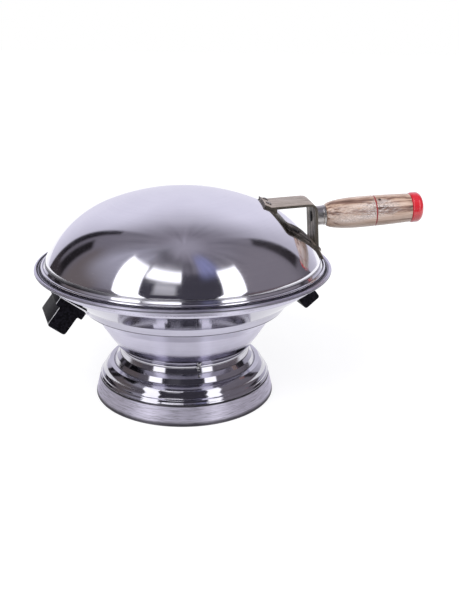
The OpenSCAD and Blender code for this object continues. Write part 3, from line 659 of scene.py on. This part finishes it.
# Creases darkened by soil and painted shade: lowest and highest radius and height in millimetres, how dark, and
# for painted shade on the left side only, the x that it ends at
LID_CREASES = [(138.0, 139.2, 142.0, 142.9, 0.8), (140.3, 141.6, 141.6, 142.7, 0.5),
               (137.5, 139.3, 142.9, 146.6, 0.45), (137.0, 139.3, 142.9, 147.8, 0.75, -72.0)]
BOWL_CREASES = [(145.9, 146.7, 139.0, 140.0, 0.6), (143.2, 145.6, 139.0, 139.9, 0.85),
                (146.6, 149.2, 136.4, 137.5, 0.8), (149.7, 150.2, 137.4, 139.1, 0.6),
                (103.8, 105.1, 98.2, 99.5, 0.7), (146.2, 147.8, 138.9, 140.4, 0.85, -85.0)]
PEDESTAL_CREASES = [(67.0, 68.3, 43.7, 44.6, 0.6), (73.7, 75.0, 35.0, 35.9, 0.6),
                    (88.5, 90.6, 18.9, 20.9, 0.85), (65.2, 67.2, 49.2, 50.6, 0.6)]
# The bowl's lower body and its rim, which are satin, and the skirt's top, in metres
BOWL_SATIN = [(0.068, 0.0989, 0.32), (0.1315, 0.1410, 0.34)]
SKIRT_TOP = 0.0204

LID_METAL = spun_aluminium("lid_aluminium", (0.80, 0.79, 0.855), (0.75, 0.74, 0.81), (0.06, 0.12), 0.06,
                           LID_CREASES)
BOWL_METAL = spun_aluminium("bowl_aluminium", (0.51, 0.495, 0.59), (0.45, 0.437, 0.52), (0.05, 0.10), 0.08,
                            BOWL_CREASES, satin=BOWL_SATIN)
PEDESTAL_METAL = spun_aluminium("pedestal_aluminium", (0.57, 0.56, 0.615), (0.48, 0.47, 0.52), (0.07, 0.13), 0.25,
                                PEDESTAL_CREASES, skirt_top=SKIRT_TOP)
PLATE_METAL = worn_steel("plate_aluminium", (0.78, 0.77, 0.81), (0.66, 0.65, 0.69), (0.16, 0.30), scale=140)
STRAP_METAL = shaded_sooted_strap("strap_steel")
RIVET_METAL = worn_steel("rivet_steel", (0.52, 0.48, 0.45), (0.22, 0.20, 0.19), (0.30, 0.55), scale=300)
FERRULE_METAL = worn_steel("ferrule_steel", (0.68, 0.66, 0.65), (0.34, 0.32, 0.31), (0.22, 0.40),
                           along=(0.5, 0.5, 3.0))
FASTENER_METAL = worn_steel("fastener_steel", (0.58, 0.57, 0.56), (0.40, 0.39, 0.38), (0.26, 0.42), scale=260)
# Plain dark steel for the tang
DARK_STEEL = worn_steel("dark_steel", (0.15, 0.145, 0.13), (0.04, 0.038, 0.034), (0.45, 0.70), scale=300)
BRASS = worn_steel("insert_brass", (0.78, 0.60, 0.28), (0.56, 0.42, 0.18), (0.25, 0.42), scale=260)
RACK_METAL = worn_steel("rack_wire", (0.76, 0.76, 0.78), (0.58, 0.57, 0.58), (0.10, 0.26), scale=220, bump=0.1)
WELD = weld_metal("weld_metal")
BAKELITE = bakelite("bakelite")
RED = red_plastic("red_plastic")
WOOD = turned_wood("grip_wood")
IRON = heat_scaled_iron("flame_iron")


# Profiles of the turned pieces

def mitred(corners, t):
    """The corners moved to the left of their path by t, with their radii fitted to the sheet's inside."""
    out = []
    for i, (r, z, radius) in enumerate(corners):
        before, after = normals_at(corners, i)
        before = before or after
        after = after or before
        both = before + after
        q = Vector((r, z)) - 2 * t * both / both.length_squared
        turn = before.x * after.y - before.y * after.x
        if radius > 0:
            radius = max(radius - t, 0.5) if turn > 0 else radius + t
        out.append((q.x, q.y, radius))
    return out


def bowl_profile():
    """One sheet from the flue hole up to the rolled rim and back down inside."""
    reach = math.sqrt(BEAD_R ** 2 - (BOWL_T / 2) ** 2)
    rim_r = BEAD_MID_R - reach
    below = [(FLUE_R, PEDESTAL_H, 0), (NECK_R, PEDESTAL_H, 3), (TURN_R, TURN_Z, 8), (WAIST_R, WAIST_Z, 5)]
    shelf = (SHELF_R, SHELF_Z, 3)
    above = [(FLARE_R, FLARE_Z, 3), (MOUTH_R, MOUTH_Z, 3), (MOUTH_R, RIM_Z - BOWL_T, 1.2),
             (rim_r, RIM_Z - BOWL_T, 0)]
    groove = [(SHELF_R + dr, SHELF_Z + dz, radius) for dr, dz, radius in BAND_GROOVE]
    inside = mitred([*below, shelf, *above], BOWL_T)[::-1]
    lean = math.degrees(math.asin(BOWL_T / 2 / BEAD_R))
    bead = arc_path((BEAD_MID_R, RIM_Z - BOWL_T / 2), BEAD_R, -180 + lean, 180 - lean, BOWL_BEAD_STEPS)
    return joined(rounded([*below, *groove, *above]), bead, rounded(inside))


def pedestal_profile():
    """The skirt, the shoulder and the stepped neck, and a plainer inside."""
    t = PEDESTAL_T
    ring_z = PEDESTAL_H - RING_H
    edge_r, edge_z = SHOULDER
    skirt = rounded([(FOOT_R - LIP_W, 0, 0), (FOOT_R, 0, 0.8), (edge_r, edge_z - STEP_W, 0.4),
                     (edge_r - STEP_W / 2, edge_z - STEP_W / 2, 0.3), (edge_r, edge_z, 0)])
    shoulder = leaning_path(SHOULDER, LOWER_STEP, SHOULDER_LEANS)
    neck = rounded([(*LOWER_STEP, 0), (*LOWER_RISER, 0.9), (*UPPER_STEP, 0.5), (*UPPER_RISER, 0.9),
                    (NECK_R - RING_W / 2, ring_z, 0.5), (NECK_R + RING_W, ring_z, 0.6),
                    (NECK_R + RING_W, PEDESTAL_H, 0.6), (FLUE_R, PEDESTAL_H, 0)])
    pull = Vector(SHOULDER) + Vector((-1 / 3, 5 / 3)) * STEP_W
    middle = (Vector(LOWER_STEP) + 2 * pull + Vector(SHOULDER)) / 4
    steps = [(r - t, z - t, 1) for r, z in (UPPER_RISER, UPPER_STEP, LOWER_RISER, LOWER_STEP)]
    inside = rounded([(FLUE_R, PEDESTAL_H - t, 0), (NECK_R - RING_W / 2 - t, PEDESTAL_H - t, 1.5), *steps,
                      (middle.x - 0.8 * t, middle.y - 0.8 * t, 3), (edge_r - STEP_W - t, edge_z - STEP_W, 2),
                      (FOOT_R - 1.4 * t, t, 1), (FOOT_R - LIP_W, t, 0)])
    return joined(skirt, shoulder, neck, inside)


def dome_profile():
    """A crown arc that runs into a knuckle arc, a tight turn and a short upright wall on a rolled edge."""
    t = LID_T
    crown_mid = Vector((0, DOME_TOP_Z - CROWN_R))
    reach = Vector((DOME_R, DOME_FOOT_Z)) - crown_mid
    gap = CROWN_R - KNUCKLE_R
    along = (gap ** 2 - KNUCKLE_R ** 2 + reach.length ** 2) / (2 * reach.length)
    aside = math.sqrt(gap ** 2 - along ** 2)
    u = reach.normalized()
    mid = crown_mid + along * u + aside * Vector((-u.y, u.x))
    blend = math.degrees(math.atan2(mid.y - (DOME_TOP_Z - CROWN_R), mid.x))
    turn_r = DOME_WALL_R - DOME_TURN_R
    turn_z = mid.y + math.sqrt((KNUCKLE_R - DOME_TURN_R) ** 2 - (turn_r - mid.x) ** 2)
    start = math.degrees(math.atan2(turn_z - mid.y, turn_r - mid.x))
    lean = math.degrees(math.acos((LID_BEAD_MID_R - DOME_R) / LID_BEAD_R))
    bead = arc_path((LID_BEAD_MID_R, SEAT_Z + LID_BEAD_R), LID_BEAD_R, -180 + lean, 180 - lean, LID_BEAD_STEPS)
    outside = joined(arc_path((turn_r, turn_z), DOME_TURN_R, 0, start, DOME_TURN_STEPS),
                     arc_path(mid, KNUCKLE_R, start, blend, KNUCKLE_STEPS),
                     arc_path(crown_mid, CROWN_R, blend, 90, CROWN_STEPS), closed=False)
    inside = joined(arc_path(crown_mid, CROWN_R - t, 90, blend, CROWN_STEPS, -1),
                    arc_path(mid, KNUCKLE_R - t, blend, start, KNUCKLE_STEPS, -1),
                    arc_path((turn_r, turn_z), DOME_TURN_R - t, start, 0, DOME_TURN_STEPS, -1), closed=False)
    inner_edge = rounded([(DOME_WALL_R - t, turn_z, 0), (DOME_WALL_R - t, SEAT_Z, 0), (DOME_R, SEAT_Z, 0)])
    return joined(bead, outside, inside, inner_edge)


def grip_profile():
    """A turned grip with a spigot at each end, a pocket for the nut and a groove at the painted ring."""
    def radius(s):
        if s < GRIP_BELLY:
            return FERRULE_R + (GRIP_R - FERRULE_R) * math.sqrt(1 - (1 - s / GRIP_BELLY) ** 2)
        return GRIP_R - (GRIP_R - GRIP_END_R) * ((s - GRIP_BELLY) / (1 - GRIP_BELLY)) ** 2

    half_groove = 1.6 * PAINT_RING_W
    marks = [PAINT_RING_Z + k * half_groove for k in (-1, -0.5, 0, 0.5, 1)]
    shares = [(i / GRIP_STEPS) ** GRIP_CROWDING for i in range(GRIP_STEPS + 1)]
    shares += [(z - GRIP_Z0) / GRIP_L for z in marks]
    body = []
    for s in sorted(shares):
        z = GRIP_Z0 + s * GRIP_L
        groove = PAINT_RING_DEPTH * max(0.0, 1 - abs(z - PAINT_RING_Z) / half_groove)
        body.append(Vector((radius(s) - groove, z)))
    normals = [right_of(a, b) for a, b in zip([body[0], *body[:-1]], [*body[1:], body[-1]])]
    head_z, end_z = FERRULE_Z0 + SPIGOT_INSET, GRIP_Z0 + GRIP_L
    tail_z = end_z + CAP_SOCKET - END_GAP
    head = rounded([(TANG_BORE_R, head_z, 0), (SPIGOT_R, head_z, 0), (SPIGOT_R, GRIP_Z0, 0)])
    tail = rounded([(END_SPIGOT_R, end_z, 0), (END_SPIGOT_R, tail_z, 0), (POCKET_R, tail_z, 0),
                    (POCKET_R, POCKET_Z, 0), (TANG_BORE_R, POCKET_Z, 0)])
    return joined(head, (body, legs_of(normals)), tail)


def cap_profile():
    z1 = CAP_Z0 + CAP_L
    end = CAP_L / 2
    inner_r, lip_r = CAP_R - CAP_WALL, CAP_R - CAP_LIP
    socket = rounded([(0, CAP_Z0 + CAP_SOCKET, 0), (inner_r, CAP_Z0 + CAP_SOCKET, 0), (inner_r, CAP_Z0, 0),
                      (lip_r, CAP_Z0, 0)])
    lip = arc_path((lip_r, CAP_Z0 + CAP_LIP), CAP_LIP, -90, 0, CAP_LIP_STEPS)
    crown = arc_path((CAP_R - end, z1 - end), end, 0, 90, CAP_CROWN_STEPS)
    top = rounded([(CAP_R - end, z1, 0), (0, z1, 0)])
    return joined(socket, lip, crown, top, closed=False)


def ferrule_profile():
    """A cup round the grip's spigot, with a turned line near each end."""
    z0, z1 = FERRULE_Z0, FERRULE_Z0 + FERRULE_L
    r, bore, wall = FERRULE_R, TANG_BORE_R, FERRULE_WALL
    return joined(rounded([(bore, z0 + wall, 0), (bore, z0, 0), (r - 0.1, z0, 0.8), (r - 0.1, z0 + 2.2, 0.3),
                           (r - 0.5, z0 + 2.7, 0.3), (r - 0.3, z1 - 3.0, 0.3), (r, z1 - 2.4, 0.4), (r, z1, 0.7),
                           (r - wall, z1, 0), (r - wall, z0 + wall, 0)]))


def finish_piece(piece, body, mat, node):
    piece.data.materials.clear()
    piece.data.materials.append(mat)
    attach(piece, body)
    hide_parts(node)


ON_HANDLE = Matrix.Translation(Vector((HANDLE_X, 0, HANDLE_Z)) * MM) @ Matrix.Rotation(
    math.radians(90 - HANDLE_TILT), 4, "Y")

# Turned pieces: name, node, body, material, slot and profile
SHELLS = [
    ("bowl_shell", "bowl", "oven_base", BOWL_METAL, "bowl_aluminium", bowl_profile()),
    ("pedestal_shell", "pedestal", "oven_base", PEDESTAL_METAL, "pedestal_aluminium", pedestal_profile()),
    ("lid_shell", "lid_dome", "lid", LID_METAL, "lid_aluminium", dome_profile()),
]
HANDLE_PIECES = [
    ("turned_grip", "handle_grip", "lid", WOOD, "grip_wood", grip_profile()),
    ("moulded_cap", "handle_end_cap", "lid", RED, "red_plastic", cap_profile()),
    ("turned_ferrule", "handle_ferrule", "lid", FERRULE_METAL, "ferrule_steel", ferrule_profile()),
]
for name, node, body, mat, slot, profile in SHELLS:
    finish_piece(lathe(name, profile, SHELL_SEGMENTS), body, mat, node)
for name, node, body, mat, slot, profile in HANDLE_PIECES:
    finish_piece(lathe(name, profile, HANDLE_SEGMENTS, ON_HANDLE), body, mat, node)

# Pieces that keep their solid's shape, with the edges broken as the real ones are. The last value says by how
# many millimetres.
BROKEN_EDGES = [
    ("bent_strap", "lid_bracket", "lid", STRAP_METAL, "strap_steel", 0.45),
    ("left_grip", "left_handle", "oven_base", BAKELITE, "bakelite", 1.0),
    ("right_grip", "right_handle", "oven_base", BAKELITE, "bakelite", 1.0),
    ("backing_plates", "handle_plates", "oven_base", PLATE_METAL, "plate_aluminium", 0.25),
    ("bolt_heads", "handle_bolts", "oven_base", FASTENER_METAL, "fastener_steel", 0.4),
    ("bolt_washers", "handle_washers", "oven_base", FASTENER_METAL, "fastener_steel", 0.2),
    ("hexagon_nut", "tang_nut", "lid", FASTENER_METAL, "fastener_steel", 0.35),
    ("nut_washer", "tang_washer", "lid", FASTENER_METAL, "fastener_steel", 0.2),
    ("spreader_plate", "flame_plate", "flame_spreader", IRON, "flame_iron", 0.5),
    ("spreader_legs", "flame_plate_legs", "flame_spreader", IRON, "flame_iron", 0.3),
    ("spreader_rivets", "flame_plate_rivets", "flame_spreader", FASTENER_METAL, "fastener_steel", 0.15),
    ("weld_runs", "neck_welds", "oven_base", WELD, "weld_metal", 0.1),
    ("brass_inserts", "handle_inserts", "oven_base", BRASS, "insert_brass", 0.2),
    ("rack_hoop", "rack_ring", "rack", RACK_METAL, "rack_wire", 0.1),
    ("rack_wires", "rack_bars", "rack", RACK_METAL, "rack_wire", 0.1),
    ("rack_cross_wires", "rack_bearers", "rack", RACK_METAL, "rack_wire", 0.1),
    ("upper_rivets", "bracket_rivets_upper", "lid", RIVET_METAL, "rivet_steel", 0.15),
    ("lower_rivets", "bracket_rivets_lower", "lid", RIVET_METAL, "rivet_steel", 0.15),
    ("riveted_tang", "handle_tang", "lid", DARK_STEEL, "fastener_steel", 0.15),
]
for name, node, body, mat, slot, width in BROKEN_EDGES:
    finish_piece(bevelled(name, node, width), body, mat, node)


# The studio that the metal mirrors: a white sweep behind the oven, and a grey room in front of it with windows.
# Azimuth 0 is the camera's side, and azimuths to its right are positive. The room's colours lie from a low to a
# high azimuth and elevation with a softness, all in degrees, each by a share.
ROOM_HEIGHTS = [(0.0, (0.11, 0.10, 0.115)), (0.45, (0.19, 0.175, 0.205)), (0.72, (0.25, 0.235, 0.275)),
                (0.85, (0.29, 0.27, 0.32)), (0.93, (0.40, 0.38, 0.445)), (1.0, (0.44, 0.42, 0.49))]
FLOOR_EL = -25
ROOM = [
    # The right wall, reddish below
    (52, 112, 6, 60, 10, 0.8, (0.235, 0.215, 0.245)),
    (52, 112, FLOOR_EL, 4, 8, 0.8, (0.150, 0.105, 0.115)),
    # The left wall, brown below and pale above, with a glow
    (-114, -80, FLOOR_EL, 44, 6, 0.8, (0.155, 0.130, 0.127)),
    (-102, -50, 32, 86, 10, 0.9, (0.35, 0.34, 0.395)),
    (-96, -58, 46, 69, 8, 0.7, (0.50, 0.49, 0.58)),
    # The dark middle, where the camera stands, with a blue gleam above it
    (-46, 38, FLOOR_EL, 60, 4, 1.0, (0.058, 0.055, 0.070)),
    (21, 46, 56, 76, 7, 0.9, (0.34, 0.36, 0.64)),
]
# Dark stands at the two ends of the sweep
STANDS = [
    (-137, -131, FLOOR_EL, 52, 1, 1.0, (0.016, 0.014, 0.018)),
    (-127, -117, FLOOR_EL, 37.5, 1.8, 1.0, (0.016, 0.014, 0.016)),
    (-141, -116, FLOOR_EL, 12, 3, 1.0, (0.045, 0.038, 0.042)),
    (112, 124, 20, 52, 2, 1.0, (0.030, 0.026, 0.030)),
]
# Folds in the cloth overhead: how finely they run round and up, where they start and are full, and their share
FOLDS_ROUND, FOLDS_UP, FOLDS_RISE, FOLDS_SHARE = 0.11, 0.012, (40.0, 66.0), 0.42
# A slanting shade: its elevation at azimuth 0, slope and half width, its ends with their softness, and its share
SHADE_EL, SHADE_SLOPE, SHADE_HALF, SHADE_ENDS, SHADE_SHARE = 69.0, -0.13, 4.0, (-72.0, 16.0, 8.0), 0.7
# The sweep: its two ends, how it fades into the ceiling, and how it brightens from its dim ends to its middle
SWEEP_RIGHT, SWEEP_LEFT, SWEEP_FADE = (123.0, 125.0), (-138.5, -136.5), (36.0, 77.0)
SWEEP_BRIGHTENS, SWEEP_DIM = (124.0, 158.0), 0.55
# The sides of the left and the right window: an azimuth, and its change with elevation and with its square
LEFT_WINDOW = (-52.0, -0.31, -0.0030), (-30.5, -0.29, 0.0)
RIGHT_WINDOW = (26.0, 0.25, 0.0), (45.0, 0.26, 0.002)
WINDOW_FOOT, LEFT_TOP, RIGHT_TOP, RIGHT_TOP_SLOPE = -12.0, 61.5, 62.3, -0.10
# The left window's arm to the middle, haze between the windows, and a low panel
WINDOW_ARM = (-44.0, -3.5, 51.5, 62.0)
HAZE, HAZE_RISE, HAZE_SHARE = (-29.0, -8.0, 22.0, 48.5, 3.0), (26.0, 50.0), 0.30
LOW_PANEL, LOW_PANEL_SHARE = (-27.0, -2.0, -9.0, -3.5), 0.9
FOLD, SHADE, SWEEP, WINDOW = (0.06, 0.057, 0.070), (0.095, 0.090, 0.105), (0.83, 0.815, 0.93), (1.9, 1.9, 1.95)
SOFT_FRONT, SOFT_BACK, WHITE = (0.84, 0.84, 0.86), (0.36, 0.36, 0.38), (1, 1, 1)


def studio_world():
    world = bpy.data.worlds.new("studio")
    bpy.context.scene.world = world
    world.use_nodes = True
    world.cycles.sampling_method = "NONE"
    net = Net(world.node_tree)
    x, y, z = net.xyz(net.add("ShaderNodeTexCoord").outputs["Generated"])
    c, s = math.cos(math.radians(TURN)), math.sin(math.radians(TURN))
    side = net.weighed(x, c, y, -s)
    ahead = net.weighed(x, s, y, c)
    az = net.math("DEGREES", net.math("ARCTAN2", side, net.times(ahead, -1.0)))
    el = net.math("DEGREES", net.math("ARCSINE", z))
    el_up = net.most(el, 0.0)

    def leaning(start, slope, square):
        value = net.math("MULTIPLY_ADD", el_up, slope, start)
        return net.math("MULTIPLY_ADD", net.times(el_up, el_up), square, value)

    def pane(low_az, high_az, low_el, high_el, soft=1.0):
        return net.times(net.between(az, low_az, high_az, soft), net.between(el, low_el, high_el, soft))

    def hung(room, pictures):
        for *edges, share, colour in pictures:
            room = net.mix(net.times(pane(*edges), share), room, colour)
        return room

    room = hung(net.ramp(net.step(el, 0, 90, "LINEAR"), ROOM_HEIGHTS), ROOM)
    folds = net.noise(net.vector(net.times(az, FOLDS_ROUND), net.times(el, FOLDS_UP), 0.0), 1.0, 3, 0.6)
    overhead = net.times(net.step(el, *FOLDS_RISE), net.scaled(net.step(folds, 0.36, 0.64), 0.0, FOLDS_SHARE))
    room = net.mix(overhead, room, FOLD)
    above_slant = net.minus(el, net.math("MULTIPLY_ADD", az, SHADE_SLOPE, SHADE_EL))
    shade = net.times(net.between(above_slant, -SHADE_HALF, SHADE_HALF, SHADE_HALF), net.between(az, *SHADE_ENDS))
    room = net.mix(net.times(shade, SHADE_SHARE), room, SHADE)
    room = hung(room, STANDS)
    behind = net.most(net.step(az, *SWEEP_RIGHT), net.other(net.step(az, *SWEEP_LEFT)))
    sweep = net.times(behind, net.other(net.step(el, *SWEEP_FADE)))
    sweep = net.times(sweep, net.scaled(net.step(net.math("ABSOLUTE", az), *SWEEP_BRIGHTENS), SWEEP_DIM, 1.0))
    room = net.mix(sweep, room, SWEEP)
    right_top = net.math("MULTIPLY_ADD", az, RIGHT_TOP_SLOPE, RIGHT_TOP)
    windows = [
        pane(*(leaning(*terms) for terms in LEFT_WINDOW), WINDOW_FOOT, LEFT_TOP),
        pane(*WINDOW_ARM),
        pane(*(leaning(*terms) for terms in RIGHT_WINDOW), WINDOW_FOOT, right_top),
        net.times(pane(*HAZE), net.times(net.step(el, *HAZE_RISE), HAZE_SHARE)),
        net.times(pane(*LOW_PANEL), LOW_PANEL_SHARE),
    ]
    glass = windows[0]
    for window in windows[1:]:
        glass = net.most(glass, window)
    studio = net.mix(glass, room, WINDOW)
    # Metal sees the studio, the camera sees white, and everything else gets plain soft light
    path = net.add("ShaderNodeLightPath").outputs
    seen = net.most(path["Is Glossy Ray"], path["Is Transmission Ray"])
    soft = net.mix(net.step(ahead, -0.7, 0.7), SOFT_FRONT, SOFT_BACK)
    colour = net.mix(path["Is Camera Ray"], net.mix(seen, soft, studio), WHITE)
    net.put(world.node_tree.nodes["Background"].inputs["Color"], colour)


# The floor: its reach from the oven's axis and its drop below the foot in metres, its greys, and how brightly it
# is seen near the oven and far from it
FLOOR_FRONT, FLOOR_SIDE, FLOOR_BACK, FLOOR_DROP = 0.46, 8.0, 12.0, 0.0006
FLOOR_DARK, FLOOR_LIGHT = (0.33, 0.33, 0.34), (0.35, 0.35, 0.36)
FLOOR_NEAR, FLOOR_FAR, GLOW_NEAR, GLOW_FAR = 0.35, 0.90, 0.74, 0.90


def studio_floor():
    mesh = bpy.data.meshes.new("floor")
    turn = Matrix.Rotation(math.radians(-TURN), 4, "Z")
    corners = [(-FLOOR_SIDE, -FLOOR_FRONT), (FLOOR_SIDE, -FLOOR_FRONT), (FLOOR_SIDE, FLOOR_BACK),
               (-FLOOR_SIDE, FLOOR_BACK)]
    mesh.from_pydata([turn @ Vector((x, y, 0)) for x, y in corners], [], [(0, 1, 2, 3)])
    floor = linked("floor", mesh)
    floor.location.z = -FLOOR_DROP
    mat, net, shader = material("pale_floor", Roughness=0.9, Specular_IOR_Level=0.0, Emission_Color=(1, 1, 1, 1))
    place = net.place()
    net.put(shader.inputs["Base Color"], net.mix(net.noise(place, 40, 3, 0.5), FLOOR_DARK, FLOOR_LIGHT))
    path = net.add("ShaderNodeLightPath").outputs
    seen = net.most(path["Is Camera Ray"], net.most(path["Is Glossy Ray"], path["Is Transmission Ray"]))
    far = net.step(round_axis(net, place)[0], FLOOR_NEAR, FLOOR_FAR)
    net.put(shader.inputs["Emission Strength"], net.times(seen, net.scaled(far, GLOW_NEAR, GLOW_FAR)))
    mesh.materials.append(mat)


# The lamps: their width and what they aim at, in metres
LAMP_SIZE, LAMP_AIM = 0.9, (0, 0, 0.1)


def lamp(name, place, watts):
    data = bpy.data.lights.new(name, "AREA")
    data.shape = "DISK"
    data.size = LAMP_SIZE
    data.energy = watts
    made = linked(name, data)
    made.location = place
    made.rotation_euler = (Vector(LAMP_AIM) - Vector(place)).to_track_quat("-Z", "Y").to_euler()
    made.visible_glossy = False


def photo_camera():
    pitch, roll = math.radians(CAMERA_PITCH), math.radians(CAMERA_ROLL)
    heading, turn = math.radians(CAMERA_YAW + TURN), math.radians(TURN)
    ahead = Vector((math.sin(heading) * math.cos(pitch), math.cos(heading) * math.cos(pitch), -math.sin(pitch)))
    right = Vector((math.cos(heading), -math.sin(heading), 0))
    up = right.cross(ahead)
    side = math.cos(roll) * right + math.sin(roll) * up
    top = math.cos(roll) * up - math.sin(roll) * right
    data = bpy.data.cameras.new("photo_camera")
    data.sensor_width = SENSOR_W
    data.lens = SENSOR_W * FOCAL_PX / IMAGE_H
    camera = linked("photo_camera", data)
    spot = Vector((-CAMERA_BACK * math.sin(turn), -CAMERA_BACK * math.cos(turn), CAMERA_UP)) * MM
    camera.matrix_world = Matrix.Translation(spot) @ Matrix((side, top, -ahead)).transposed().to_4x4()
    bpy.context.scene.camera = camera


studio_world()
studio_floor()
lamp("key_light", (-0.9, -0.9, 1.3), 16)
lamp("fill_light", (1.1, -0.6, 1.0), 8)
photo_camera()
bpy.context.scene.view_settings.view_transform = "Standard"
